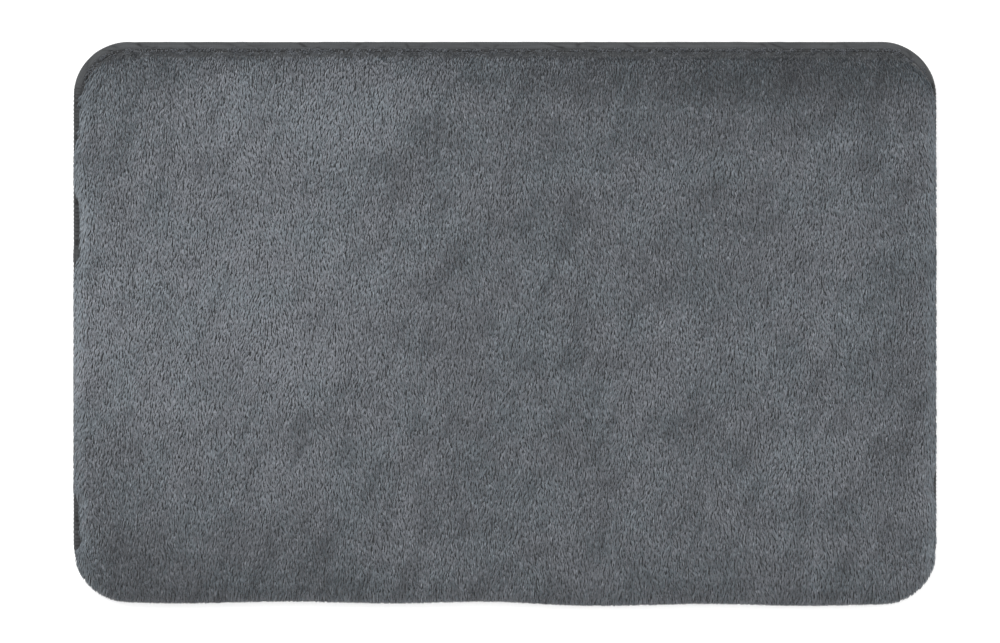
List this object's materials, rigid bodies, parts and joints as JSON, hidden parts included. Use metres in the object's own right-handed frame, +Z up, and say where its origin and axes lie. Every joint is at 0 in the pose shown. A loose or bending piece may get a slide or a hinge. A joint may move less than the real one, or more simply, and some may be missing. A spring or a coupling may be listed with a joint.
{
  "type": "bath mat",
  "caption": "Rectangular plush bath mat with round corners: combed fur pile over a foam pad, a folded tape bound round the edge, and a dotted non-slip underside.",
  "frame": {"origin": "middle of the whole mat's outline, on the resting face made by the crests of the grip dots", "axes": "+Z up through the pile; +X along the long side; +Y towards the long edge where the tape shows, away from the combing of the pile"},
  "size_m": [0.9, 0.586, 0.0255],
  "materials": {
    "pile_fur": "long soft grey polyester fur, combed one way, with faint cool and warm patches",
    "ground_knit": "close grey knitted ground cloth",
    "bond_film": "thin translucent hot-melt film",
    "foam": "open-cell polyurethane foam, matte",
    "backing_felt": "needled non-woven polyester cloth, matte",
    "grip_rubber": "dark grey rubber coat with raised satin dots",
    "binding_tape": "smooth brushed knit tape, dark grey",
    "sewing_thread": "twisted polyester sewing thread, dark grey",
    "label_satin": "blank white satin label"
  },
  "bodies": {
    "root": {"fur_pile": "pile_fur", "ground_cloth": "ground_knit", "upper_bond_film": "bond_film", "foam_core": "foam", "lower_bond_film": "bond_film", "backing_cloth": "backing_felt", "grip_coat": "grip_rubber", "edge_binding": "binding_tape", "needle_thread": "sewing_thread", "bobbin_thread": "sewing_thread", "care_label": "label_satin"}
  },
  "joints": []
}
